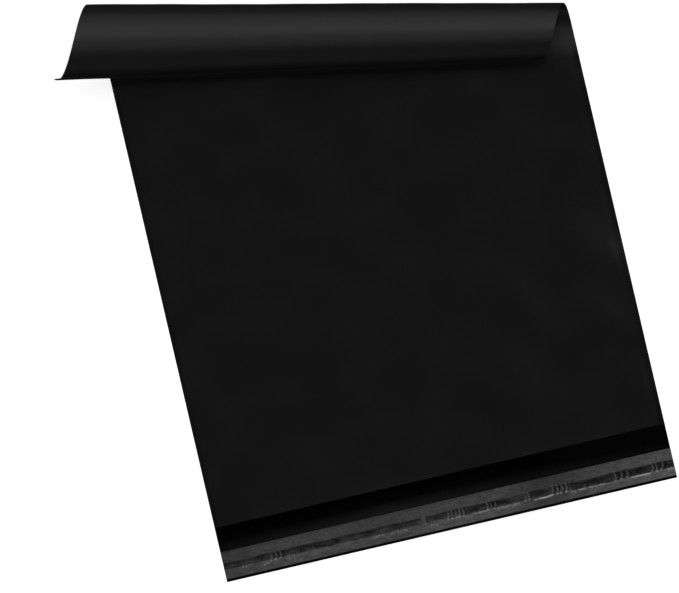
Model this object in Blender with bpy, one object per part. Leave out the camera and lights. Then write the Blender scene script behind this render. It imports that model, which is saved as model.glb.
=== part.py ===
"""Poly mailer bag, laid flat with its closed end rolled up over the front panel.

One web of film is folded at the bottom and welded along both sides, and the back panel
runs on past the mouth as the closing flap. The flap carries a line of adhesive under a
release liner. The flat pattern is built first and its closed end is then wound into a
loose cone, so every length along the film stays as it was cut.

X runs across the bag, Y from the flap towards the roll, Z up. The origin is on the
underside of the flat part, at mid width and half way from the flap's edge to the roll.
"""

import math

import bmesh
import bpy
import numpy as np
from mathutils import Matrix, Vector

# Film bag, as it lies before it is rolled
BAG_WIDTH = 0.400
BODY_LENGTH = 0.600
FLAP_LENGTH = 0.048
FILM_THICKNESS = 0.00007
PANEL_GAP = 0.0003
SEAL_WIDTH = 0.004
SHOULDER_WIDTH = 0.008

# Closure on the flap, measured from the flap's edge
LINER_INSET = 0.0023
LINER_WIDTH = 0.024
LINER_THICKNESS = 0.00005
ADHESIVE_INSET = 0.0100
ADHESIVE_WIDTH = 0.0065
ADHESIVE_THICKNESS = 0.0001
ADHESIVE_END_MARGIN = 0.002
LAYER_CLEARANCE = 0.0003

# Roll at the closed end; its radius and the flat length are those at mid width
FLAT_LENGTH = 0.4376
ROLL_RADIUS = 0.0294
ROLL_TAPER = math.radians(1.07)
ROLL_SKEW = math.radians(11.8)
TURN_PITCH = 0.002
FACETS_PER_TURN = 40

# How far a cutter stands out of the face it cuts through, and how near two points of an
# outline's cap and side lie when they are one point
CUTTER_MARGIN = 0.002
WELD_DISTANCE = 1e-6
SHARP_ANGLE = math.radians(30)

BAG_LENGTH = FLAP_LENGTH + BODY_LENGTH
STACK_HEIGHT = 2 * FILM_THICKNESS + PANEL_GAP
FLAP_EDGE_Y = -FLAT_LENGTH / 2
MOUTH_Y = FLAP_EDGE_Y + FLAP_LENGTH
FOLD_Y = FLAP_EDGE_Y + BAG_LENGTH


def clear_scene():
    """Remove every object and material that the file opened with."""
    for item in list(bpy.data.objects):
        bpy.data.objects.remove(item, do_unlink=True)
    for item in list(bpy.data.materials):
        bpy.data.materials.remove(item)


def new_collection(name):
    """Add a collection to the scene."""
    made = bpy.data.collections.new(name)
    bpy.context.scene.collection.children.link(made)
    return made


def new_material(name, colour, roughness):
    """Make a plain Principled material."""
    made = bpy.data.materials.new(name)
    made.use_nodes = True
    shader = made.node_tree.nodes["Principled BSDF"]
    shader.inputs["Base Color"].default_value = (*colour, 1.0)
    shader.inputs["Roughness"].default_value = roughness
    shader.inputs["Metallic"].default_value = 0.0
    return made


def box(name, low, high, collection):
    """Add a box between two opposite corners, with its size applied to the mesh."""
    bpy.ops.mesh.primitive_cube_add(size=1.0)
    made = bpy.context.active_object
    made.name = name
    low = Vector(low)
    high = Vector(high)
    made.data.transform(Matrix.Diagonal((*(high - low), 1.0)))
    made.data.transform(Matrix.Translation((low + high) / 2))
    for holder in list(made.users_collection):
        holder.objects.unlink(made)
    collection.objects.link(made)
    return made


def prism(name, outline, start, end, collection):
    """Add a closed outline of (x, z) points, extruded along Y from start to end."""
    curve = bpy.data.curves.new(name, "CURVE")
    curve.dimensions = "2D"
    curve.fill_mode = "BOTH"
    curve.extrude = (end - start) / 2
    spline = curve.splines.new("POLY")
    spline.points.add(len(outline) - 1)
    for point, (across, up) in zip(spline.points, outline, strict=True):
        point.co = (across, up, 0.0, 1.0)
    spline.use_cyclic_u = True
    guide = bpy.data.objects.new(name + "_outline", curve)
    collection.objects.link(guide)
    graph = bpy.context.evaluated_depsgraph_get()
    mesh = bpy.data.meshes.new_from_object(guide.evaluated_get(graph))
    bpy.data.objects.remove(guide, do_unlink=True)
    work = bmesh.new()
    work.from_mesh(mesh)
    bmesh.ops.remove_doubles(work, verts=work.verts[:], dist=WELD_DISTANCE)
    bmesh.ops.recalc_face_normals(work, faces=work.faces[:])
    work.to_mesh(mesh)
    work.free()
    mesh.transform(Matrix.Rotation(math.pi / 2, 4, "X"))
    mesh.transform(Matrix.Translation((0.0, (start + end) / 2, 0.0)))
    made = bpy.data.objects.new(name, mesh)
    collection.objects.link(made)
    return made


def cut(target, cutter):
    """Subtract one solid from another with an exact Boolean, and hide the cutter."""
    boolean = target.modifiers.new("cut_" + cutter.name, "BOOLEAN")
    boolean.operation = "DIFFERENCE"
    boolean.solver = "EXACT"
    boolean.object = cutter
    cutter.hide_render = True
    cutter.display_type = "WIRE"


def apply_modifiers(target):
    """Replace an object's mesh with its evaluated one."""
    graph = bpy.context.evaluated_depsgraph_get()
    mesh = bpy.data.meshes.new_from_object(target.evaluated_get(graph))
    mesh.name = target.name
    target.modifiers.clear()
    target.data = mesh


# The roll's contact line and its cone. ALONG points down the contact line to the cone's
# tip, and AWAY points from the flap to the roll, square to it.
ALONG = np.array([math.cos(ROLL_SKEW), -math.sin(ROLL_SKEW)])
AWAY = np.array([math.sin(ROLL_SKEW), math.cos(ROLL_SKEW)])
TIP_DISTANCE = ROLL_RADIUS / math.tan(ROLL_TAPER)
TIP = np.array([0.0, FLAT_LENGTH / 2]) + TIP_DISTANCE * ALONG
PITCH_PER_RADIAN = TURN_PITCH / (2 * math.pi)


def polar_about_tip(plan):
    """Distance from the tip, and angle from the contact line, of points in the plan."""
    offset = plan - TIP
    back = -offset @ ALONG
    beyond = offset @ AWAY
    return np.hypot(back, beyond), np.arctan2(beyond, back)


def turn_at(length):
    """Angle wound by a length of film on the spiral r = ROLL_RADIUS - PITCH_PER_RADIAN * angle.

    The length wound is ROLL_RADIUS * angle - PITCH_PER_RADIAN * angle**2 / 2, which is
    solved here for the angle.
    """
    rest = ROLL_RADIUS**2 - 2 * PITCH_PER_RADIAN * length
    return (ROLL_RADIUS - np.sqrt(rest)) / PITCH_PER_RADIAN


def wound(points):
    """Wind points of the flat bag round the cone; those before the contact line stay.

    A point keeps its distance from the tip. Its angle about the tip, times the tip's
    distance, is its length along the spiral at mid width, and its height above the
    film's underside goes inwards from the spiral.
    """
    distance, angle = polar_about_tip(points[:, :2])
    turn = turn_at(TIP_DISTANCE * np.maximum(angle, 0.0))
    depth = points[:, 2] * TIP_DISTANCE / distance
    radius = ROLL_RADIUS - PITCH_PER_RADIAN * turn - depth
    across = radius * np.sin(turn)
    up = ROLL_RADIUS - radius * np.cos(turn)
    scale = distance / np.sqrt(TIP_DISTANCE**2 + across**2 + up**2)
    plan = TIP + scale[:, None] * (across[:, None] * AWAY - TIP_DISTANCE * ALONG)
    moved = np.column_stack([plan, scale * up])
    return np.where((angle > 0.0)[:, None], moved, points)


def furthest_turn():
    """The angle wound at the corner of the closed end that lies deepest in the roll."""
    corners = np.array([[-BAG_WIDTH / 2, FOLD_Y], [BAG_WIDTH / 2, FOLD_Y]])
    angles = polar_about_tip(corners)[1]
    return float(turn_at(TIP_DISTANCE * angles.max()))


def roll_up(target):
    """Cut the flat solid along the cone's rulings, then wind it up."""
    mesh = target.data
    work = bmesh.new()
    work.from_mesh(mesh)
    step = 2 * math.pi / FACETS_PER_TURN
    for index in range(math.ceil(furthest_turn() / step)):
        turn = index * step
        length = ROLL_RADIUS * turn - PITCH_PER_RADIAN * turn**2 / 2
        angle = length / TIP_DISTANCE
        normal = math.cos(angle) * AWAY + math.sin(angle) * ALONG
        bmesh.ops.bisect_plane(
            work,
            geom=work.verts[:] + work.edges[:] + work.faces[:],
            dist=1e-7,
            plane_co=(*TIP, 0.0),
            plane_no=(*normal, 0.0),
        )
    bmesh.ops.triangulate(work, faces=work.faces[:])
    flat = np.array([vertex.co for vertex in work.verts])
    for vertex, place in zip(work.verts, wound(flat), strict=True):
        vertex.co = place
    bmesh.ops.recalc_face_normals(work, faces=work.faces[:])
    work.to_mesh(mesh)
    work.free()
    mesh.shade_smooth()
    mesh.set_sharp_from_angle(angle=SHARP_ANGLE)


def mirrored(right_side):
    """An outline from its right half, listed upwards, and the same points on the left."""
    return right_side + [(-across, up) for across, up in reversed(right_side)]


def film_envelope(parts, cutters):
    """Back panel with its flap, bottom fold, front panel and side welds, in one film.

    Across the bag the two panels lie pressed together in the welds and part over a
    shoulder to the full gap.
    """
    half = BAG_WIDTH / 2
    weld_edge = half - SEAL_WIDTH
    shoulder = weld_edge - SHOULDER_WIDTH
    section = mirrored(
        [
            (half, 0.0),
            (half, 2 * FILM_THICKNESS),
            (weld_edge, 2 * FILM_THICKNESS),
            (shoulder, STACK_HEIGHT),
        ]
    )
    hollow = mirrored(
        [(weld_edge, FILM_THICKNESS), (shoulder, FILM_THICKNESS + PANEL_GAP)]
    )
    bag = prism("film_envelope", section, FLAP_EDGE_Y, FOLD_Y, parts)
    above_flap = box(
        "flap_recess",
        (-half - CUTTER_MARGIN, FLAP_EDGE_Y - CUTTER_MARGIN, FILM_THICKNESS),
        (half + CUTTER_MARGIN, MOUTH_Y, STACK_HEIGHT + CUTTER_MARGIN),
        cutters,
    )
    pocket = prism(
        "pocket", hollow, MOUTH_Y - CUTTER_MARGIN, FOLD_Y - FILM_THICKNESS, cutters
    )
    cut(bag, above_flap)
    cut(bag, pocket)
    apply_modifiers(bag)
    roll_up(bag)
    return bag


def flap_strip(name, inset, width, base, thickness, end_margin, parts):
    """A flat strip across the flap, a given distance in from the flap's edge."""
    half = BAG_WIDTH / 2 - end_margin
    near = FLAP_EDGE_Y + inset
    return box(
        name, (-half, near, base), (half, near + width, base + thickness), parts
    )


def build():
    """Make the three pieces with their materials."""
    clear_scene()
    parts = new_collection("poly_mailer_bag")
    cutters = new_collection("cutters")
    adhesive_base = FILM_THICKNESS + LAYER_CLEARANCE
    liner_base = adhesive_base + ADHESIVE_THICKNESS + LAYER_CLEARANCE
    envelope = film_envelope(parts, cutters)
    adhesive = flap_strip(
        "adhesive_strip",
        ADHESIVE_INSET,
        ADHESIVE_WIDTH,
        adhesive_base,
        ADHESIVE_THICKNESS,
        ADHESIVE_END_MARGIN,
        parts,
    )
    liner = flap_strip(
        "release_liner",
        LINER_INSET,
        LINER_WIDTH,
        liner_base,
        LINER_THICKNESS,
        0.0,
        parts,
    )
    envelope.data.materials.append(new_material("black_film", (0.008,) * 3, 0.42))
    adhesive.data.materials.append(new_material("adhesive", (0.02,) * 3, 0.25))
    liner.data.materials.append(new_material("liner_film", (0.055,) * 3, 0.3))


build()
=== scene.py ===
"""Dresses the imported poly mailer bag: film, adhesive line and release liner, on a pale floor.

The bag lies on its back panel with its closed end rolled up over the front. X runs across
the bag, Y from the flap towards the roll, Z up, in metres.
"""

import math

import bmesh
import bpy
import numpy as np
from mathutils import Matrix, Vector


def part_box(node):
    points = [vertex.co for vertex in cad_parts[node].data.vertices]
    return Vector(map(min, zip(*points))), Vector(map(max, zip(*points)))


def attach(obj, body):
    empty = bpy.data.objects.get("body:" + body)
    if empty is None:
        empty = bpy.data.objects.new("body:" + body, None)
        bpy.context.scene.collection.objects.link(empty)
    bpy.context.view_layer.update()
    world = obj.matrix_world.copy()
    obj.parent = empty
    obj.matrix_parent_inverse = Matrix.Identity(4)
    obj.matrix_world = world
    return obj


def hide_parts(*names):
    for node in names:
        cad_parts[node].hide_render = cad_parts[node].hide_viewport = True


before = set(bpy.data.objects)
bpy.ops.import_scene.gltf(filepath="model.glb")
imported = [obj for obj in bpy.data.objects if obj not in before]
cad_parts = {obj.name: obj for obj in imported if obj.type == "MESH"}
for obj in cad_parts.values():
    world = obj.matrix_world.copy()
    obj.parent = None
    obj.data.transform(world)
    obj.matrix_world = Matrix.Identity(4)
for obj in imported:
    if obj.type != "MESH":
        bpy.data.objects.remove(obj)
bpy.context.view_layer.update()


# Film envelope
# One web of black blown film, folded at the closed bottom and welded down both sides. Its back
# panel runs on past the mouth as the flap, and the closed end is wound up into a loose cone.

# The frame's origin is half way from the flap's edge to the line where the roll touches down
film_low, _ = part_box("film_envelope")
liner_low, liner_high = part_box("release_liner")
BAG_WIDTH = liner_high.x - liner_low.x
HALF_WIDTH = BAG_WIDTH / 2
FLAP_EDGE = film_low.y
CONTACT_LINE = -film_low.y
FLAP_LENGTH = 0.048
BODY_LENGTH = 0.600
FILM = 0.00007
PANEL_GAP = 0.0003
WELD_GAP = 0.00001
SEAL_WIDTH = 0.004
SHOULDER_WIDTH = 0.008
MOUTH = FLAP_EDGE + FLAP_LENGTH
FOLD = MOUTH + BODY_LENGTH

ROLL_RADIUS = 0.0294
ROLL_TAPER = math.radians(1.07)
ROLL_SKEW = math.radians(11.8)
TURN_PITCH = 0.002
PITCH_PER_RADIAN = TURN_PITCH / (2 * math.pi)
ALONG = np.array([math.cos(ROLL_SKEW), -math.sin(ROLL_SKEW)])
AWAY = np.array([math.sin(ROLL_SKEW), math.cos(ROLL_SKEW)])
TIP_DISTANCE = ROLL_RADIUS / math.tan(ROLL_TAPER)
TIP = np.array([0.0, CONTACT_LINE]) + TIP_DISTANCE * ALONG


def fade(value, start, end):
    """Smooth step: 0 before start, 1 after end, and 3t^2 - 2t^3 between them."""
    share = np.clip((value - start) / (end - start), 0.0, 1.0)
    return share * share * (3.0 - 2.0 * share)


def waves(across, along, seed, count, shortest, longest):
    """Sum of plane sine waves of random heading, phase and length, scaled to about -1 to 1."""
    random = np.random.default_rng(seed)
    heading = random.uniform(0.0, 2 * math.pi, count)
    length = np.exp(random.uniform(math.log(shortest), math.log(longest), count))
    phase = random.uniform(0.0, 2 * math.pi, count)
    total = np.zeros(np.broadcast(across, along).shape)
    for angle, wavelength, start in zip(heading, length, phase, strict=True):
        run = across * math.cos(angle) + along * math.sin(angle)
        total += np.sin(2 * math.pi * run / wavelength + start)
    return total / math.sqrt(2 * count)


def past_contact(across, along):
    """How far a point of the flat bag lies beyond the line where the roll touches down."""
    return (across - TIP[0]) * AWAY[0] + (along - TIP[1]) * AWAY[1]


FILM_LIFT = 0.0005
EDGE_CURL = 0.0007
CURL_REACH = 0.022
CURL_SWAY = 21.0
WELD_PUCKER = 0.00016
PUCKER_REACH = 0.020
FLATTENS_FROM = -0.06
FLATTENS_BY = -0.004


def lie(across, along):
    """Height of the film's underside: shallow waves squared, a curl that dies out from the flap's
    free edge as a squared fade and sways across the bag as a sine, and small puckers that the
    welds draw, dying out from the sides. All of it fades to nothing where the roll touches
    down."""
    flat = 1.0 - fade(past_contact(across, along), FLATTENS_FROM, FLATTENS_BY)
    shallow = FILM_LIFT * waves(across, along, 11, 9, 0.09, 0.26) ** 2
    curl = 1.0 - fade(along, FLAP_EDGE, FLAP_EDGE + CURL_REACH)
    sway = 0.6 + 0.4 * np.sin(across * CURL_SWAY + 0.7)
    drawn = fade(np.abs(across), HALF_WIDTH - PUCKER_REACH, HALF_WIDTH)
    pucker = 0.5 + 0.5 * waves(0.3 * across, along, 17, 7, 0.018, 0.045)
    return flat * (shallow + EDGE_CURL * curl**2 * sway + WELD_PUCKER * drawn * pucker)


ROLL_DENT = 0.0002
DENTED_FROM = 0.5
DENTED_BY = 1.6


def wound(across, along, depth):
    """Winds the flat bag round the cone. A point keeps its distance from the tip; its angle about
    the tip times the tip's distance is its arc length on the spiral r = R - b * turn, whose turn
    is (R - sqrt(R^2 - 2 b length)) / b; its depth goes inwards from the spiral. Slow waves dent
    the spiral, from the first half radian on."""
    back = -((across - TIP[0]) * ALONG[0] + (along - TIP[1]) * ALONG[1])
    beyond = past_contact(across, along)
    distance, angle = np.hypot(back, beyond), np.arctan2(beyond, back)
    length = TIP_DISTANCE * np.maximum(angle, 0.0)
    turn = (
        ROLL_RADIUS - np.sqrt(ROLL_RADIUS**2 - 2 * PITCH_PER_RADIAN * length)
    ) / PITCH_PER_RADIAN
    dented = fade(turn, DENTED_FROM, DENTED_BY)
    dent = ROLL_DENT * dented * waves(distance, 0.02 * turn, 5, 5, 0.05, 0.2)
    radius = ROLL_RADIUS - PITCH_PER_RADIAN * turn + dent - depth * TIP_DISTANCE / distance
    out = radius * np.sin(turn)
    up = ROLL_RADIUS - radius * np.cos(turn)
    scale = distance / np.sqrt(TIP_DISTANCE**2 + out**2 + up**2)
    rolled = np.stack(
        [
            TIP[0] + scale * (out * AWAY[0] - TIP_DISTANCE * ALONG[0]),
            TIP[1] + scale * (out * AWAY[1] - TIP_DISTANCE * ALONG[1]),
            scale * up,
        ],
        axis=-1,
    )
    flat = np.stack([across, along, depth], axis=-1)
    return np.where((angle > 0.0)[..., None], rolled, flat)


def spaced(*stretches):
    """Places along an axis: each stretch is (start, end, step), and the last end is kept."""
    places = [
        np.linspace(a, b, max(1, round(abs(b - a) / step)), endpoint=False)
        for a, b, step in stretches
    ]
    return np.append(np.concatenate(places), stretches[-1][1])


LIP_OPEN = 1.8
LIP_REACH = 0.018


def panel_gap(across, along):
    """Air between the panels: next to none in the welds and full past the shoulder, by a fade. It
    is wider at the mouth's lip, by an exponential that dies out inwards, times slow waves."""
    inside = HALF_WIDTH - SEAL_WIDTH - np.abs(across)
    open_share = fade(inside, 0.0, SHOULDER_WIDTH)
    lip = 1.0 + LIP_OPEN * np.exp(-(along - MOUTH) / LIP_REACH) * (
        0.55 + 0.45 * waves(across, 0.0, 3, 4, 0.07, 0.22)
    )
    return WELD_GAP + (PANEL_GAP - WELD_GAP) * open_share * lip


def grid_mesh(name, points, pattern, masks):
    """Mesh of a grid of rows and columns, facing the side from which rows cross columns
    clockwise. pattern is its UV map, and each mask a number for every point."""
    rows, columns = points.shape[:2]
    index = np.arange(rows * columns).reshape(rows, columns)
    corners = [index[:-1, :-1], index[1:, :-1], index[1:, 1:], index[:-1, 1:]]
    quads = np.stack(corners, axis=-1).reshape(-1, 4)
    mesh = bpy.data.meshes.new(name)
    mesh.vertices.add(rows * columns)
    mesh.vertices.foreach_set("co", points.astype(np.float32).ravel())
    mesh.loops.add(quads.size)
    mesh.loops.foreach_set("vertex_index", quads.ravel())
    mesh.polygons.add(len(quads))
    mesh.polygons.foreach_set("loop_start", np.arange(0, quads.size, 4))
    mesh.update(calc_edges=True)
    flat_pattern = pattern.reshape(-1, 2)[quads.ravel()]
    mesh.uv_layers.new(name="pattern").data.foreach_set("uv", flat_pattern.ravel())
    for mask, values in masks.items():
        layer = mesh.attributes.new(mask, "FLOAT", "POINT")
        layer.data.foreach_set("value", values.astype(np.float32).ravel())
    return mesh


SHARP_ANGLE = math.radians(50)


def thickened(name, mesh, thickness, materials):
    """Object of a grid with its thickness: the second material is the side that faces away."""
    piece = bpy.data.objects.new(name, mesh)
    bpy.context.scene.collection.objects.link(piece)
    for material in materials:
        mesh.materials.append(material)
    wall = piece.modifiers.new("thickness", "SOLIDIFY")
    wall.thickness = thickness
    wall.offset = 0.0
    wall.material_offset = len(materials) - 1
    solid = bpy.data.meshes.new_from_object(
        piece.evaluated_get(bpy.context.evaluated_depsgraph_get())
    )
    piece.modifiers.clear()
    piece.data = solid
    solid.shade_smooth()
    solid.set_sharp_from_angle(angle=SHARP_ANGLE)
    return piece


def feed(tree, socket, value):
    """Gives an input socket its value: another node's output, linked, or a plain number."""
    if hasattr(value, "is_output"):
        tree.links.new(value, socket)
    else:
        socket.default_value = value


def math_node(tree, operation, *values):
    """Math node whose inputs are sockets or plain numbers; returns its result."""
    node = tree.nodes.new("ShaderNodeMath")
    node.operation = operation
    for socket, value in zip(node.inputs, values, strict=False):
        feed(tree, socket, value)
    return node.outputs[0]


def noise_node(tree, vector, scale, detail, roughness=0.5):
    """Noise texture on a vector; returns its factor."""
    node = tree.nodes.new("ShaderNodeTexNoise")
    node.inputs["Scale"].default_value = scale
    node.inputs["Detail"].default_value = detail
    node.inputs["Roughness"].default_value = roughness
    tree.links.new(vector, node.inputs["Vector"])
    return node.outputs["Fac"]


def ramp_node(tree, value, *stops):
    """Colour ramp behind a Map Range: a number's piecewise linear curve through the given
    (place, value) stops."""
    node = tree.nodes.new("ShaderNodeValToRGB")
    low, high = stops[0][0], stops[-1][0]
    span = node.color_ramp.elements
    for place, level in stops[1:-1]:
        span.new((place - low) / (high - low)).color = (level, level, level, 1.0)
    span[0].color = (*([stops[0][1]] * 3), 1.0)
    span[-1].color = (*([stops[-1][1]] * 3), 1.0)
    share = tree.nodes.new("ShaderNodeMapRange")
    share.inputs["From Min"].default_value = low
    share.inputs["From Max"].default_value = high
    tree.links.new(value, share.inputs["Value"])
    tree.links.new(share.outputs[0], node.inputs["Fac"])
    return node.outputs["Color"]


LINE_SCALE = 900.0
LINE_STRETCH = 50.0
LINE_SHARE = 0.6
GEL_SCALE = 1400.0
MOTTLE_SCALE = 22.0


def blown_film_effect():
    """Group on the flat pattern: draw lines along the web and fine gels of blown film as a height,
    and its slow mottle as a tone from 0 to 1."""
    group = bpy.data.node_groups.new("blown_film", "ShaderNodeTree")
    sockets = group.interface
    sockets.new_socket(name="Pattern", in_out="INPUT", socket_type="NodeSocketVector")
    for label in ("Height", "Tone"):
        sockets.new_socket(name=label, in_out="OUTPUT", socket_type="NodeSocketFloat")
    pattern = group.nodes.new("NodeGroupInput").outputs["Pattern"]
    made = group.nodes.new("NodeGroupOutput")
    squeeze = group.nodes.new("ShaderNodeVectorMath")
    squeeze.operation = "MULTIPLY"
    squeeze.inputs[1].default_value = (1.0, 1.0 / LINE_STRETCH, 1.0)
    group.links.new(pattern, squeeze.inputs[0])
    lines = noise_node(group, squeeze.outputs[0], LINE_SCALE, 2.0)
    gels = noise_node(group, pattern, GEL_SCALE, 1.0)
    mottle = noise_node(group, pattern, MOTTLE_SCALE, 4.0, 0.6)
    height = math_node(group, "MULTIPLY_ADD", lines, LINE_SHARE, gels)
    group.links.new(height, made.inputs["Height"])
    group.links.new(mottle, made.inputs["Tone"])
    return group


BLOWN_FILM = blown_film_effect()


def mask_node(tree, name):
    """A mask of the mesh, as a number."""
    node = tree.nodes.new("ShaderNodeAttribute")
    node.attribute_name = name
    return node.outputs["Fac"]


def blend_node(tree, share, first, second):
    """Number that goes from first to second with share."""
    node = tree.nodes.new("ShaderNodeMix")
    tree.links.new(share, node.inputs["Factor"])
    feed(tree, node.inputs["A"], first)
    feed(tree, node.inputs["B"], second)
    return node.outputs["Result"]


def principled(name, specular=0.5, roughness=0.5):
    """Material with one Principled shader; returns (material, node tree, shader)."""
    material = bpy.data.materials.new(name)
    material.use_nodes = True
    shader = material.node_tree.nodes["Principled BSDF"]
    shader.inputs["Roughness"].default_value = roughness
    shader.inputs["Specular IOR Level"].default_value = specular
    return material, material.node_tree, shader


def uv_pattern(tree):
    """The flat pattern's map: x across the web and y along it, in metres."""
    node = tree.nodes.new("ShaderNodeUVMap")
    node.uv_map = "pattern"
    return node.outputs["UV"]


def pattern_axes(tree):
    """The flat pattern's x and y as two numbers."""
    split = tree.nodes.new("ShaderNodeSeparateXYZ")
    tree.links.new(uv_pattern(tree), split.inputs["Vector"])
    return split.outputs["X"], split.outputs["Y"]


def add_relief(tree, shader, height, strength, distance):
    """Bumps a shader by a height."""
    relief = tree.nodes.new("ShaderNodeBump")
    relief.inputs["Strength"].default_value = strength
    relief.inputs["Distance"].default_value = distance
    tree.links.new(height, relief.inputs["Height"])
    tree.links.new(relief.outputs["Normal"], shader.inputs["Normal"])


ROUGHNESS_SPREAD = 0.08
FILM_RELIEF = 0.00002
FILM_RELIEF_STRENGTH = 0.35


def film_finish(tree, shader, roughness, tones, tone_share=None, emboss=0.0):
    """Base colour between two greys by the film's mottle, roughness raised by it, and a bump of
    its draw lines and of what is embossed. tone_share is a socket that scales the base colour."""
    film = tree.nodes.new("ShaderNodeGroup")
    film.node_tree = BLOWN_FILM
    tree.links.new(uv_pattern(tree), film.inputs["Pattern"])
    base = tree.nodes.new("ShaderNodeMix")
    base.data_type = "RGBA"
    for side, grey in zip("AB", tones, strict=True):
        base.inputs[side].default_value = (grey, grey, grey, 1.0)
    tree.links.new(film.outputs["Tone"], base.inputs["Factor"])
    colour = base.outputs["Result"]
    if tone_share is not None:
        scaled = tree.nodes.new("ShaderNodeMix")
        scaled.data_type = "RGBA"
        scaled.blend_type = "MULTIPLY"
        scaled.inputs["Factor"].default_value = 1.0
        tree.links.new(colour, scaled.inputs["A"])
        tree.links.new(tone_share, scaled.inputs["B"])
        colour = scaled.outputs["Result"]
    tree.links.new(colour, shader.inputs["Base Color"])
    mottled = math_node(tree, "MULTIPLY_ADD", film.outputs["Tone"], ROUGHNESS_SPREAD, roughness)
    tree.links.new(mottled, shader.inputs["Roughness"])
    height = math_node(tree, "ADD", film.outputs["Height"], emboss)
    add_relief(tree, shader, height, FILM_RELIEF_STRENGTH, FILM_RELIEF)


OUTER_TONES = (0.0070, 0.0085)
LYING_ROUGHNESS = 0.145
ROLLED_ROUGHNESS = 0.42
WELD_SHINE = 0.05
JAW_PITCH = 0.0009


def weld_band(tree):
    """The side welds on the flat pattern: 1 in a band along both sides from the mouth on, and
    the heated jaws' print in it, the product of a sine across the bag and one along it."""
    across, along = pattern_axes(tree)
    from_middle = math_node(tree, "ABSOLUTE", math_node(tree, "SUBTRACT", across, HALF_WIDTH))
    at_side = math_node(tree, "GREATER_THAN", from_middle, HALF_WIDTH - SEAL_WIDTH)
    past_mouth = math_node(tree, "GREATER_THAN", along, FLAP_LENGTH)
    band = math_node(tree, "MULTIPLY", at_side, past_mouth)
    phase_per_metre = 2 * math.pi / JAW_PITCH
    print_across = math_node(tree, "SINE", math_node(tree, "MULTIPLY", across, phase_per_metre))
    print_along = math_node(tree, "SINE", math_node(tree, "MULTIPLY", along, phase_per_metre))
    hatch = math_node(tree, "MULTIPLY", print_across, print_along)
    return band, math_node(tree, "MULTIPLY", hatch, band)


def outer_film():
    """Outer face of the film: satin black, rubbed to a softer gloss where it is rolled up, and a
    little shinier in the welds."""
    material, tree, shader = principled("film_outer")
    band, jaw_print = weld_band(tree)
    rubbed = blend_node(tree, mask_node(tree, "rolled"), LYING_ROUGHNESS, ROLLED_ROUGHNESS)
    roughness = math_node(tree, "MULTIPLY_ADD", band, -WELD_SHINE, rubbed)
    film_finish(tree, shader, roughness, OUTER_TONES, emboss=jaw_print)
    return material


INNER_TONES = (0.0095, 0.0115)
INNER_ROUGHNESS = 0.08
INNER_SPECULAR = 0.2

# Painted sheen on the bare flap, and painted shade under the mouth's lip: shares of its grey by
# the distance from its edge and by the place across the bag, which are multiplied, and the least
# share by the place across
PAINTED_SHEEN_AND_SHADE_INWARDS = ((0.0, 0.3), (0.029, 0.95), (0.031, 0.7), (0.037, 0.1), (FLAP_LENGTH, 0.0))
PAINTED_SHEEN_ACROSS = ((0.0, 0.85), (0.15, 1.8), (0.26, 0.95), (BAG_WIDTH, 0.5))
PAINTED_SHEEN_AT_LEAST = ((0.28, 0.0), (0.33, 0.28), (BAG_WIDTH, 0.22))


def inner_film():
    """Inner face, bare on the flap: deeper black and glossier. Its base colour carries a painted
    sheen, greyer where the liner draws it up and towards the right side, and painted shade,
    blackest under the mouth's lip."""
    material, tree, shader = principled("film_inner", specular=INNER_SPECULAR)
    across, along = pattern_axes(tree)
    # Painted sheen near the liner and painted shade under the lip, which scale the base colour
    inwards = ramp_node(tree, along, *PAINTED_SHEEN_AND_SHADE_INWARDS)
    grey = math_node(tree, "MULTIPLY", inwards, ramp_node(tree, across, *PAINTED_SHEEN_ACROSS))
    grey = math_node(tree, "MAXIMUM", grey, ramp_node(tree, across, *PAINTED_SHEEN_AT_LEAST))
    film_finish(tree, shader, INNER_ROUGHNESS, INNER_TONES, grey)
    return material


# Mesh steps across the bag and along it, and where the steps along it change
WELD_STEP = 0.0013
SHOULDER_STEP = 0.0016
PANEL_STEP = 0.0052
FLAP_STEP = 0.0016
LIP_STEP = 0.002
LIP_ROWS = 0.02
BODY_STEP = 0.0042
ROLL_STEP = 0.0024
ROLL_MARGIN = 0.012
FOLD_MARGIN = 0.001
FOLD_STEPS = 6

RUBBED_REACH = 0.025


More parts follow.
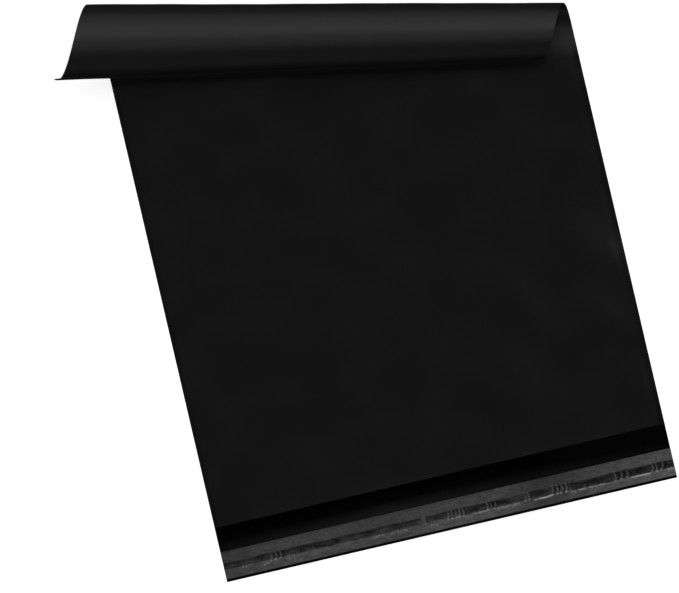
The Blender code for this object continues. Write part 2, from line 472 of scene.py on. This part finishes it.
def film_envelope():
    """The film's mid surface over its web: up the back panel, round the fold and back down the
    front panel. Each row is a place along the bag; the two panels share their rows, so that
    they stay apart in the roll. A mask says where the film is rolled up."""
    side = HALF_WIDTH - SEAL_WIDTH
    inner = side - SHOULDER_WIDTH
    columns = spaced(
        (-HALF_WIDTH, -side, WELD_STEP),
        (-side, -inner, SHOULDER_STEP),
        (-inner, inner, PANEL_STEP),
        (inner, side, SHOULDER_STEP),
        (side, HALF_WIDTH, WELD_STEP),
    )
    roll_start = CONTACT_LINE - HALF_WIDTH * math.tan(ROLL_SKEW) - ROLL_MARGIN
    flap_rows = spaced((FLAP_EDGE, MOUTH, FLAP_STEP))
    body_rows = spaced(
        (MOUTH, MOUTH + LIP_ROWS, LIP_STEP),
        (MOUTH + LIP_ROWS, roll_start, BODY_STEP),
        (roll_start, FOLD - FOLD_MARGIN, ROLL_STEP),
    )
    back_rows = np.concatenate([flap_rows[:-1], body_rows])
    across, along = np.meshgrid(columns, back_rows)
    back = wound(across, along, lie(across, along) + FILM / 2)
    across_front, along_front = np.meshgrid(columns, body_rows[::-1])
    gap = panel_gap(across_front, along_front)
    lift = lie(across_front, along_front)
    front = wound(across_front, along_front, lift + 1.5 * FILM + gap)
    gap_at_fold = panel_gap(columns, FOLD)
    bend = []
    for step in range(FOLD_STEPS + 1):
        angle = math.pi * (step / FOLD_STEPS - 0.5)
        radius = (FILM + gap_at_fold) / 2
        height = FILM / 2 + radius * (1.0 + math.sin(angle))
        bend.append(wound(columns, FOLD - radius + radius * math.cos(angle), height))
    points = np.concatenate([back, np.stack(bend), front])
    rolled = [
        fade(past_contact(across, along), -RUBBED_REACH, 0.0),
        np.ones((len(bend), len(columns))),
        fade(past_contact(across_front, along_front), -RUBBED_REACH, 0.0),
    ]
    front_run = 2 * FOLD - FLAP_EDGE - body_rows[::-1]
    bend_run = np.linspace(FOLD, FOLD + FOLD_MARGIN, FOLD_STEPS + 1) - FLAP_EDGE
    run = np.concatenate([back_rows - FLAP_EDGE, bend_run, front_run])
    pattern = np.stack(np.meshgrid(columns + HALF_WIDTH, run), axis=-1)
    mesh = grid_mesh("film_bag", points, pattern, {"rolled": np.concatenate(rolled)})
    return thickened("film_bag", mesh, FILM, [outer_film(), inner_film()])


film_bag = film_envelope()
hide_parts("film_envelope")
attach(film_bag, "root")


# Adhesive line
# A bead of hot-melt adhesive laid along the flap, flattened by the liner, with slightly wandering
# edges. It stays tacky under the liner and stops just short of the side welds.

ADHESIVE_INSET = 0.0100
ADHESIVE_WIDTH = 0.0065
ADHESIVE_HEIGHT = 0.0001
ADHESIVE_CLEARANCE = 0.00001
ADHESIVE_END_MARGIN = 0.002
BEAD_WANDER = 0.0003
BEAD_SLANT = 0.0013
BEAD_LEVEL_AT = 0.4
BEAD_FLATNESS = 0.4
BEAD_SIDES = 12
BEAD_END = 0.0012
BEAD_END_STEP = 0.0001
BEAD_STEP = 0.002
BEAD_TONES = ((0.0, 0.012), (1.0, 0.030))
BEAD_ROUGHNESS = 0.16
BEAD_RELIEF = 0.00005
BEAD_RELIEF_STRENGTH = 0.4
MERGE_DISTANCE = 0.000001


def adhesive_material():
    """Dark, wet-looking hot melt with a faint pull texture."""
    material, tree, shader = principled("hot_melt", roughness=BEAD_ROUGHNESS)
    place = tree.nodes.new("ShaderNodeTexCoord").outputs["Object"]
    pulls = noise_node(tree, place, 420.0, 3.0, 0.6)
    tone = ramp_node(tree, pulls, *BEAD_TONES)
    tree.links.new(tone, shader.inputs["Base Color"])
    add_relief(tree, shader, pulls, BEAD_RELIEF_STRENGTH, BEAD_RELIEF)
    return material


def bead_edges(run):
    """Insets from the flap's edge of the bead's outer and inner edge, which wander as slow waves
    along the strip. The outer edge also slants, evenly, towards the flap's edge on the right. run
    is counted from the left side."""
    slant = BEAD_SLANT * (BEAD_LEVEL_AT - run / BAG_WIDTH)
    outer = ADHESIVE_INSET + slant + BEAD_WANDER * waves(run, 0.0, 31, 7, 0.006, 0.07)
    inner = ADHESIVE_INSET + ADHESIVE_WIDTH + BEAD_WANDER * waves(run, 0.0, 32, 7, 0.008, 0.09)
    return outer, inner


def adhesive_bead():
    """Flattened oval section carried along the flap between its two edges: a sine in height, and
    sideways a cosine drawn out by a power below 1. It shrinks to a point as the square root of a
    fade at each end, and the seam and both points are merged."""
    reach = HALF_WIDTH - ADHESIVE_END_MARGIN
    stations = spaced(
        (-reach, BEAD_END - reach, BEAD_END_STEP),
        (BEAD_END - reach, reach - BEAD_END, BEAD_STEP),
        (reach - BEAD_END, reach, BEAD_END_STEP),
    )
    turn = np.linspace(0.0, -2 * math.pi, BEAD_SIDES + 1)
    turn[-1] = 0.0
    across, angle = np.meshgrid(stations, turn, indexing="ij")
    ends = np.sqrt(fade(reach - np.abs(across), 0.0, BEAD_END))
    outer, inner = bead_edges(across + HALF_WIDTH)
    sideways = np.sign(np.cos(angle)) * np.abs(np.cos(angle)) ** BEAD_FLATNESS
    along = FLAP_EDGE + (outer + inner) / 2 + ends * (inner - outer) / 2 * sideways
    lowest = lie(across, along) + FILM + ADHESIVE_CLEARANCE
    height = lowest + ADHESIVE_HEIGHT / 2 * (1.0 + ends * np.sin(angle))
    points = np.stack([across, along, height], axis=-1)
    pattern = np.stack([across, angle], axis=-1)
    mesh = grid_mesh("adhesive_line", points, pattern, {})
    mesh.materials.append(adhesive_material())
    shell = bmesh.new()
    shell.from_mesh(mesh)
    bmesh.ops.remove_doubles(shell, verts=shell.verts, dist=MERGE_DISTANCE)
    bmesh.ops.recalc_face_normals(shell, faces=shell.faces)
    shell.to_mesh(mesh)
    shell.free()
    bead = bpy.data.objects.new("adhesive_line", mesh)
    bpy.context.scene.collection.objects.link(bead)
    mesh.shade_smooth()
    return bead


adhesive_line = adhesive_bead()
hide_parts("adhesive_strip")
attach(adhesive_line, "root")


# Release liner
# A thin hazy film laid over the adhesive until the bag is closed. Where it is stuck down it looks
# wet and dark; it ruckles across the bead, with painted shade in the creases beside the ruckles,
# and lifts in a line along the bead's outer edge, brightened by a painted highlight.

LINER_INSET = liner_low.y - FLAP_EDGE
LINER_WIDTH = liner_high.y - liner_low.y
LINER_FILM = 0.00005
LINER_CLEARANCE = 0.00003
LINER_CELL = (0.0005, 0.0006)
RUCKLE_HEIGHT = 0.00020
RUCKLE_WIDTH = 0.00068
FULL_WIDTH_SPACING = 0.0030
RUCKLE_LEAN = -0.13
RUCKLE_SCATTER = 0.06
FOOT_HOOK = 0.0028
FULL_HOOK_SPACING = 0.0042
FOOT_STEP = 0.15
TOP_STEP = 0.35
CREASE_OFFSET = 0.47
CREASE_WIDTH = 0.29
GLINT_RUN = 0.0008
GLINT_INSET = 0.0006
GLINT_SLIP = 0.0003
SHINE_HEIGHT = 0.00016
SHINE_OFFSET = 0.0002
SHINE_END_OUT = 0.0008
SHINE_END_IN = 0.0016
PUCKER_HEIGHT = 0.00012
DRY_GAP_EDGE = 0.0007
DRAPE_REACH = 0.0011

# Groups of ruckles, counted from the left edge: place of the first, how many, their spacing, how
# strongly they stand, and from where to where they reach, as shares of the adhesive's width
RUCKLES = (
    (0.0180, 4, 0.0026, 0.30, 0.00, 0.60),
    (0.0360, 3, 0.0022, 0.55, -0.40, 0.10),
    (0.0427, 3, 0.0043, 0.90, -0.05, 1.10),
    (0.0560, 6, 0.0022, 0.28, -0.30, 0.90),
    (0.1340, 4, 0.0021, 0.50, -0.20, 0.45),
    (0.1500, 6, 0.0026, 0.45, -0.20, 0.55),
    (0.1845, 3, 0.0021, 0.40, -0.45, 0.30),
    (0.2004, 5, 0.0032, 0.95, -0.10, 1.20),
    (0.2150, 4, 0.0019, 0.32, -0.55, 0.10),
    (0.2346, 3, 0.0037, 0.75, -0.10, 1.10),
    (0.2440, 4, 0.0018, 0.50, -0.15, 0.40),
    (0.2684, 2, 0.0031, 0.55, 0.00, 1.05),
    (0.2930, 4, 0.0041, 1.00, -0.10, 1.30),
    (0.3080, 3, 0.0020, 0.60, -0.35, 0.30),
    (0.3212, 1, 0.0020, 0.85, -0.15, 0.65),
    (0.3275, 3, 0.0017, 0.50, -0.25, 0.30),
    (0.3490, 3, 0.0055, 0.90, -0.10, 1.15),
    (0.3815, 3, 0.0046, 0.90, -0.10, 1.15),
    (0.3935, 4, 0.0018, 0.50, -0.30, 0.35),
)

# How far outside and inside each edge of the bead the liner goes from loose to stuck
OUTER_STUCK_FADE = (0.0003, 0.0006)
INNER_STUCK_FADE = (0.0005, 0.0005)

# Lines near the bead's edges where the liner is wet: distance from the edge and half width. The
# outer line grows from nothing between two places along the strip
INNER_WET_LINE = (0.0015, 0.0008)
OUTER_WET_LINE = (0.0010, 0.0006)
OUTER_WET_FROM = 0.16
OUTER_WET_BY = 0.29

# Where the liner is wettest: the patch's middle, its half length and how wet it is. All patches
# have the same distance from the bead's inner edge and the same half width
WET_PATCH_INSET = 0.0030
WET_PATCH_HALF = 0.0026
WET_PATCHES = (
    (0.0825, 0.003, 0.6),
    (0.1010, 0.003, 0.9),
    (0.1900, 0.006, 0.5),
    (0.2220, 0.006, 0.6),
    (0.2500, 0.007, 0.7),
    (0.2810, 0.008, 0.8),
    (0.3260, 0.015, 0.8),
    (0.3700, 0.008, 0.7),
)

# Short breaks where the liner isn't stuck down: their middle and half width
DRY_GAPS = ((0.1777, 0.0012), (0.2699, 0.0008), (0.3062, 0.0010))

# Stretches where the liner lifts along the bead's outer edge and a highlight is painted on it:
# start, end, strength, breadth
SHINES = (
    (0.2195, 0.2350, 0.60, 0.0005),
    (0.2416, 0.2630, 0.40, 0.0011),
    (0.2748, 0.2915, 0.95, 0.0005),
    (0.3135, 0.3205, 0.80, 0.0004),
    (0.3228, 0.3275, 0.80, 0.0004),
    (0.3316, 0.3385, 0.70, 0.0005),
    (0.3610, 0.3790, 0.95, 0.0005),
    (0.3900, 0.3985, 0.60, 0.0006),
)

# How dense the haze is along the strip: place and share
HAZE_ALONG = (
    (0.00, 0.65),
    (0.06, 1.10),
    (0.15, 0.88),
    (0.20, 1.12),
    (0.25, 1.12),
    (0.28, 0.50),
    (0.30, 0.60),
    (0.33, 1.15),
    (BAG_WIDTH, 1.65),
)


def share_across(inset):
    """Place across the adhesive: 0 at its outer edge and 1 at its inner edge."""
    return (inset - ADHESIVE_INSET) / ADHESIVE_WIDTH


def ruckle_masks(run, inset):
    """Ridges across the adhesive and the creases beside them, where shade is painted. A ridge is a
    bell along the strip that leans, sways as a sine, hooks back at its foot, narrows inwards and
    ends in smooth steps, broken up by short waves; its crease is a bell about half a spacing on,
    whose width goes with the spacing. Also a glint, an oval bell, at each ridge's foot: a small
    bump with a painted highlight."""
    random = np.random.default_rng(4)
    across = share_across(inset)
    inward = np.clip(across, 0.0, 1.0)
    broken = np.clip(0.85 + 0.4 * waves(run, inset, 14, 9, 0.0012, 0.0045), 0.0, 1.0)
    ridges, painted_crease_shades, foot_bumps_and_painted_glints = (np.zeros(run.shape) for _ in range(3))
    for first, count, spacing, strength, outer, inner in RUCKLES:
        for number in range(count):
            centre = first + number * spacing + random.normal(0.0, RUCKLE_SCATTER) * spacing
            lean = RUCKLE_LEAN + random.normal(0.0, RUCKLE_SCATTER)
            hook = FOOT_HOOK * random.uniform(0.5, 1.1) * min(1.0, spacing / FULL_HOOK_SPACING)
            bow = random.uniform(0.0001, 0.0003)
            sway = random.uniform(0.0, 2.0)
            width = RUCKLE_WIDTH * random.uniform(0.75, 1.3)
            width = width * min(1.0, spacing / FULL_WIDTH_SPACING)
            top = inner + random.uniform(-0.18, 0.10)
            foot = outer + random.uniform(-0.06, 0.10)
            height = strength * random.uniform(0.75, 1.0)
            offset = run - centre - lean * (inset - ADHESIVE_INSET)
            offset = offset + bow * np.sin(math.pi * (1.2 * inward + sway))
            offset = offset + hook * (1.0 - fade(across, -0.20, 0.42))
            reach = fade(across, foot, foot + FOOT_STEP)
            reach = reach * (1.0 - fade(across, top - TOP_STEP, top))
            reach = reach * (1.05 - 0.25 * inward) * broken
            bell = np.exp(-((offset / (width * (1.2 - 0.45 * inward))) ** 2))
            ridges = np.maximum(ridges, height * reach * bell)
            beside = (offset / spacing - CREASE_OFFSET) / CREASE_WIDTH
            # Strength of the painted shade in the crease beside the ridge
            crease_shade_strength = min(1.0, 1.6 * height) * reach * fade(across, -0.1, 0.20)
            painted_crease_shades = np.maximum(painted_crease_shades, crease_shade_strength * np.exp(-(beside**2)))
            foot_inset = ADHESIVE_INSET + (foot + 0.02) * ADHESIVE_WIDTH
            slip = random.normal(0.0, GLINT_SLIP)
            spot = ((run - centre + 0.8 * hook - slip) / GLINT_RUN) ** 2
            spot = spot + ((inset - foot_inset) / GLINT_INSET) ** 2
            # Glint at the foot: a small bump, with a highlight painted on it
            foot_bumps_and_painted_glints = np.maximum(foot_bumps_and_painted_glints, height * random.uniform(0.4, 1.0) * np.exp(-spot))
    return ridges, painted_crease_shades, foot_bumps_and_painted_glints


def shine_mask(run, inset):
    """Thin line just outside the bead's outer edge, where the liner lifts and a highlight is
    painted:
    a bell across, in stretches with faded ends. A strong stretch is nearly solid, and a weak one
    is crumbled by short waves."""
    total = np.zeros(run.shape)
    outer, _ = bead_edges(run)
    crumbs = 0.5 + 0.5 * waves(run, inset, 9, 8, 0.0016, 0.005)
    for start, end, strength, breadth in SHINES:
        middle = outer - SHINE_OFFSET - 0.6 * breadth
        taper = breadth * (0.45 + 0.55 * fade(run, start, 0.5 * (start + end)))
        line = np.exp(-(((inset - middle) / (taper * (0.75 + 0.5 * crumbs))) ** 2))
        stretch = fade(run, start - SHINE_END_OUT, start + SHINE_END_IN)
        stretch = stretch * (1.0 - fade(run, end - SHINE_END_IN, end + SHINE_END_OUT))
        solid = 0.85 * fade(strength, 0.35, 0.9)
        total = np.maximum(total, strength * stretch * line * (solid + (1 - solid) * crumbs))
    return np.clip(total, 0.0, 1.0)


def stuck_masks(run, inset):
    """Where the liner is stuck to the bead, faded at both edges and broken by dry gaps that widen
    towards them; and where it is wettest, a bell near each edge of the bead, waxing and waning as
    slow waves, and flat-topped oval patches at its middle."""
    low, high = bead_edges(run)
    stuck = fade(inset, low - OUTER_STUCK_FADE[0], low + OUTER_STUCK_FADE[1])
    loose = fade(inset, high - INNER_STUCK_FADE[1], high + INNER_STUCK_FADE[0])
    stuck = stuck * (1.0 - loose)
    off_middle = 2.0 * share_across(inset) - 1.0
    for middle, half in DRY_GAPS:
        edge = half * (1.0 + 0.9 * off_middle**2)
        stuck = stuck * fade(np.abs(run - middle), edge, edge + DRY_GAP_EDGE)
    inner_line = np.exp(-(((high - inset - INNER_WET_LINE[0]) / INNER_WET_LINE[1]) ** 2))
    outer_line = np.exp(-(((inset - low - OUTER_WET_LINE[0]) / OUTER_WET_LINE[1]) ** 2))
    line = np.maximum(inner_line, outer_line * fade(run, OUTER_WET_FROM, OUTER_WET_BY))
    wet = line * (0.60 + 0.45 * waves(run, 0.0, 33, 6, 0.02, 0.12))
    for middle, half, strength in WET_PATCHES:
        oval = ((run - middle) / half) ** 2
        oval = oval + ((high - inset - WET_PATCH_INSET) / WET_PATCH_HALF) ** 2
        wet = np.maximum(wet, strength * np.exp(-(oval**1.5)))
    return stuck, np.clip(wet, 0.0, 1.0) * stuck


def over_bead(run, inset):
    """1 where the liner lies over the bead, fading out beside it and towards the bag's sides."""
    low, high = bead_edges(run)
    band = fade(inset, low - DRAPE_REACH, low) * (1.0 - fade(inset, high, high + DRAPE_REACH))
    from_side = np.minimum(run, BAG_WIDTH - run)
    return band * fade(from_side, 0.0, ADHESIVE_END_MARGIN)


def release_liner():
    """The liner's mid surface: the flap's own height, raised over the bead, with the ruckles and
    the shining line on top, and slow puckers where it isn't stuck."""
    run = spaced((0.0, BAG_WIDTH, LINER_CELL[0]))
    inset = spaced((LINER_INSET, LINER_INSET + LINER_WIDTH, LINER_CELL[1]))[::-1]
    run, inset = np.meshgrid(run, inset)
    across, along = run - HALF_WIDTH, FLAP_EDGE + inset
    stuck, wet = stuck_masks(run, inset)
    ridges, painted_crease_shades, foot_bumps_and_painted_glints = ruckle_masks(run, inset)
    lift_and_painted_shine = shine_mask(run, inset)
    pucker = 0.5 + 0.5 * waves(run, 2.2 * inset, 6, 8, 0.012, 0.07)
    height = lie(across, along) + FILM + LINER_FILM / 2 + LINER_CLEARANCE
    height = height + (ADHESIVE_HEIGHT + ADHESIVE_CLEARANCE) * over_bead(run, inset)
    height = height + RUCKLE_HEIGHT * ridges + SHINE_HEIGHT * np.maximum(lift_and_painted_shine, foot_bumps_and_painted_glints)
    height = height + PUCKER_HEIGHT * pucker * (1 - stuck)
    places, shares = zip(*HAZE_ALONG, strict=True)
    # Two of these masks paint light into the liner's colour: a highlight on the lifted edge and at
    # the ruckles' feet, and shade in the creases
    masks = {
        "haze": np.interp(run, places, shares),
        "stuck": stuck,
        "wet": wet,
        "ridge": ridges,
        "painted_crease_shade": painted_crease_shades,
        "lift_and_painted_shine": np.maximum(lift_and_painted_shine, foot_bumps_and_painted_glints),
    }
    points = np.stack([across, along, height], axis=-1)
    mesh = grid_mesh("liner_strip", points, np.stack([run, inset], axis=-1), masks)
    return thickened("liner_strip", mesh, LINER_FILM, [liner_material()])


# Grey of the haze by the distance from the flap's edge
HAZE_INWARDS = (
    (LINER_INSET, 0.080),
    (0.0035, 0.096),
    (0.0070, 0.096),
    (0.0100, 0.112),
    (0.0166, 0.053),
    (0.0190, 0.074),
    (0.0232, 0.072),
    (LINER_INSET + LINER_WIDTH, 0.052),
)

# Streaks in the haze and patches where it is stuck: stretch along the strip, scale and detail
BROAD_STREAKS = (3.0, 330.0, 2.0)
FINE_STREAKS = (4.0, 1100.0, 3.0)
STUCK_PATCHES = (2.5, 210.0, 3.0)
STREAK_TILT = 0.12
STREAK_SHARES = ((0.3, 0.62), (0.7, 1.38))
STUCK_TONES = ((0.32, 0.016), (0.68, 0.080))

# Greys and roughness of what else shows in the liner
WET_TONE = 0.012
# Painted shade in the creases beside the ruckles
PAINTED_CREASE_SHADE = 0.010
RIDGE_TONE = 0.175
# Painted highlight on the lifted edge and at the ruckles' feet
PAINTED_SHINE_TONE = 0.80
HAZE_ROUGHNESS = 0.32
STUCK_ROUGHNESS = 0.17
WET_ROUGHNESS = 0.08
LINER_RELIEF = 0.00004
LINER_RELIEF_STRENGTH = 0.5


def streaks_node(tree, pattern, stretch, scale, detail):
    """Noise drawn out along the strip by the given stretch, and tilted a little off it."""
    turn = tree.nodes.new("ShaderNodeMapping")
    turn.inputs["Rotation"].default_value = (0.0, 0.0, STREAK_TILT)
    turn.inputs["Scale"].default_value = (1.0 / stretch, 1.0, 1.0)
    tree.links.new(pattern, turn.inputs["Vector"])
    return noise_node(tree, turn.outputs[0], scale, detail, 0.6)


def liner_material():
    """Hazy grey film over black: streaks along the strip, broad and fine, that scale the haze.
    It is dark in patches where it is stuck to the adhesive, darkest and glossiest where it is wet,
    glossy in the creases with painted shade there, paler on the ruckles, and brightest on the
    lifted edge and at the ruckles' feet, where a highlight is painted."""
    material, tree, shader = principled("liner_haze")
    pattern = uv_pattern(tree)
    _, inwards = pattern_axes(tree)
    broad = streaks_node(tree, pattern, *BROAD_STREAKS)
    fine = streaks_node(tree, pattern, *FINE_STREAKS)
    patches = streaks_node(tree, pattern, *STUCK_PATCHES)
    haze = ramp_node(tree, inwards, *HAZE_INWARDS)
    haze = math_node(tree, "MULTIPLY", haze, mask_node(tree, "haze"))
    haze = math_node(tree, "MULTIPLY", haze, ramp_node(tree, broad, *STREAK_SHARES))
    haze = math_node(tree, "MULTIPLY", haze, ramp_node(tree, fine, *STREAK_SHARES))
    stuck, wet, painted_crease_shade = (mask_node(tree, name) for name in ("stuck", "wet", "painted_crease_shade"))
    tone = blend_node(tree, stuck, haze, ramp_node(tree, patches, *STUCK_TONES))
    tone = blend_node(tree, wet, tone, WET_TONE)
    # Painted shade in the creases beside the ruckles
    tone = blend_node(tree, painted_crease_shade, tone, PAINTED_CREASE_SHADE)
    tone = blend_node(tree, mask_node(tree, "ridge"), tone, RIDGE_TONE)
    # Painted highlight on the lifted edge and at the ruckles' feet
    tone = blend_node(tree, mask_node(tree, "lift_and_painted_shine"), tone, PAINTED_SHINE_TONE)
    tree.links.new(tone, shader.inputs["Base Color"])
    rough = blend_node(tree, stuck, HAZE_ROUGHNESS, STUCK_ROUGHNESS)
    rough = blend_node(tree, wet, rough, WET_ROUGHNESS)
    rough = blend_node(tree, painted_crease_shade, rough, WET_ROUGHNESS)
    tree.links.new(rough, shader.inputs["Roughness"])
    add_relief(tree, shader, fine, LINER_RELIEF_STRENGTH, LINER_RELIEF)
    return material


liner_strip = release_liner()
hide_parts("release_liner")
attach(liner_strip, "root")


# Floor
# A plain pale sheet that everything lies on, just below the film. It looks almost white, and its
# reflection in the film is kept dim, as on a table with dark surroundings.

FLOOR_HALF = 40.0
FLOOR_DROP = 0.0001
FLOOR_COLOUR = (0.9, 0.9, 0.9, 1.0)
MIRRORED_FLOOR_COLOUR = (0.06, 0.06, 0.06, 1.0)
FLOOR_GLOW = 0.76


def floor_material():
    """Pale diffuse floor with a light of its own that only the camera sees, dim to reflections."""
    material = bpy.data.materials.new("pale_floor")
    material.use_nodes = True
    tree = material.node_tree
    tree.nodes.clear()
    output = tree.nodes.new("ShaderNodeOutputMaterial")
    path = tree.nodes.new("ShaderNodeLightPath")
    paper = tree.nodes.new("ShaderNodeBsdfDiffuse")
    paper.inputs["Color"].default_value = FLOOR_COLOUR
    dim = tree.nodes.new("ShaderNodeBsdfDiffuse")
    dim.inputs["Color"].default_value = MIRRORED_FLOOR_COLOUR
    glow = tree.nodes.new("ShaderNodeEmission")
    seen = math_node(tree, "MULTIPLY", path.outputs["Is Camera Ray"], FLOOR_GLOW)
    tree.links.new(seen, glow.inputs["Strength"])
    either = tree.nodes.new("ShaderNodeMixShader")
    tree.links.new(path.outputs["Is Glossy Ray"], either.inputs["Fac"])
    tree.links.new(paper.outputs[0], either.inputs[1])
    tree.links.new(dim.outputs[0], either.inputs[2])
    both = tree.nodes.new("ShaderNodeAddShader")
    tree.links.new(either.outputs[0], both.inputs[0])
    tree.links.new(glow.outputs[0], both.inputs[1])
    tree.links.new(both.outputs[0], output.inputs["Surface"])
    return material


floor_mesh = bpy.data.meshes.new("floor")
floor_corners = [
    (-FLOOR_HALF, -FLOOR_HALF, -FLOOR_DROP),
    (FLOOR_HALF, -FLOOR_HALF, -FLOOR_DROP),
    (FLOOR_HALF, FLOOR_HALF, -FLOOR_DROP),
    (-FLOOR_HALF, FLOOR_HALF, -FLOOR_DROP),
]
floor_mesh.from_pydata(floor_corners, [], [(0, 1, 2, 3)])
floor_mesh.materials.append(floor_material())
floor = bpy.data.objects.new("floor", floor_mesh)
bpy.context.scene.collection.objects.link(floor)


# Camera
# It looks straight down through a long lens, turned so that the roll lies level in the picture.
# Its scale, turn and place come from where the flap's two corners lie in the picture, in pixels.

PICTURE_SIZE = (679, 593)
FLAP_LEFT_PIXEL = (227.2, 582.2)
FLAP_RIGHT_PIXEL = (677.2, 477.4)
CAMERA_HEIGHT = 12.0
SENSOR_WIDTH = 36.0

edge_across = FLAP_RIGHT_PIXEL[0] - FLAP_LEFT_PIXEL[0]
edge_up = FLAP_LEFT_PIXEL[1] - FLAP_RIGHT_PIXEL[1]
edge_pixels = math.hypot(edge_across, edge_up)
metres_per_pixel = BAG_WIDTH / edge_pixels
picture_turn = math.atan2(edge_up, edge_across)
from_corner = Vector(
    (PICTURE_SIZE[0] / 2 - FLAP_LEFT_PIXEL[0], FLAP_LEFT_PIXEL[1] - PICTURE_SIZE[1] / 2)
)
right = Vector((math.cos(picture_turn), -math.sin(picture_turn)))
up = Vector((math.sin(picture_turn), math.cos(picture_turn)))
aim = Vector((-HALF_WIDTH, FLAP_EDGE)) + metres_per_pixel * (
    from_corner.x * right + from_corner.y * up
)
camera_data = bpy.data.cameras.new("overhead")
camera_data.sensor_width = SENSOR_WIDTH
camera_data.lens = SENSOR_WIDTH * CAMERA_HEIGHT / (metres_per_pixel * PICTURE_SIZE[0])
camera_data.clip_start = 1.0
camera_data.clip_end = 100.0
camera = bpy.data.objects.new("overhead", camera_data)
camera.location = (aim.x, aim.y, CAMERA_HEIGHT)
camera.rotation_euler = (0.0, 0.0, -picture_turn)
bpy.context.scene.collection.objects.link(camera)
bpy.context.scene.camera = camera


# Light
# A wide soft box beyond the roll and parallel to it, a narrow one on the near side, and a room
# that is dark straight overhead, so that the flat film keeps its black and the roll its gleam.

# Brightness of the sky by its angle across the roll, in degrees from overhead, where the far side
# is positive: a pale horizon, a narrow box on the near side, a dark slot and the far box
SKY_ACROSS_ROLL = (
    (-90, 0.6),
    (-75, 0.1),
    (-25, 0.05),
    (-14, 1.5),
    (-5, 0.0),
    (5, 0.0),
    (12, 1.5),
    (20, 1.4),
    (60, 0.7),
    (90, 0.5),
)

# Where the boxes end, as the least and most share of a direction that points along the roll
BOX_ENDS = (0.40, 0.92)
SIDE_LIGHT = 0.16
SEEN_SKY_COLOUR = (0.98, 0.98, 0.98, 1.0)


def studio_sky():
    """World whose brightness is a curve of the angle across the roll, times a smooth step down
    towards the boxes' two ends, plus a weak light from both sides. The camera sees it pale."""
    world = bpy.data.worlds.new("studio")
    world.use_nodes = True
    tree = world.node_tree
    tree.nodes.clear()
    heading = tree.nodes.new("ShaderNodeTexCoord").outputs["Generated"]

    def share_of(direction):
        """How much of the way looked along points in a direction: their dot product."""
        node = tree.nodes.new("ShaderNodeVectorMath")
        node.operation = "DOT_PRODUCT"
        node.inputs[1].default_value = direction
        tree.links.new(heading, node.inputs[0])
        return node.outputs["Value"]

    towards_roll = share_of((up.x, up.y, 0.0))
    aside = math_node(tree, "ABSOLUTE", share_of((right.x, right.y, 0.0)))
    angle = math_node(tree, "ARCTAN2", towards_roll, share_of((0.0, 0.0, 1.0)))
    degrees = math_node(tree, "DEGREES", angle)
    box = ramp_node(tree, degrees, *SKY_ACROSS_ROLL)
    ends = tree.nodes.new("ShaderNodeMapRange")
    ends.interpolation_type = "SMOOTHSTEP"
    ends.inputs["From Min"].default_value = BOX_ENDS[0]
    ends.inputs["From Max"].default_value = BOX_ENDS[1]
    tree.links.new(aside, ends.inputs["Value"])
    middle = math_node(tree, "SUBTRACT", 1.0, ends.outputs[0])
    strength = math_node(tree, "MULTIPLY", box, middle)
    strength = math_node(tree, "MULTIPLY_ADD", ends.outputs[0], SIDE_LIGHT, strength)
    lit = tree.nodes.new("ShaderNodeBackground")
    tree.links.new(strength, lit.inputs["Strength"])
    pale = tree.nodes.new("ShaderNodeBackground")
    pale.inputs["Color"].default_value = SEEN_SKY_COLOUR
    path = tree.nodes.new("ShaderNodeLightPath")
    seen = tree.nodes.new("ShaderNodeMixShader")
    tree.links.new(path.outputs["Is Camera Ray"], seen.inputs["Fac"])
    tree.links.new(lit.outputs[0], seen.inputs[1])
    tree.links.new(pale.outputs[0], seen.inputs[2])
    output = tree.nodes.new("ShaderNodeOutputWorld")
    tree.links.new(seen.outputs[0], output.inputs["Surface"])
    return world


bpy.context.scene.world = studio_sky()
bpy.context.scene.view_settings.view_transform = "Standard"
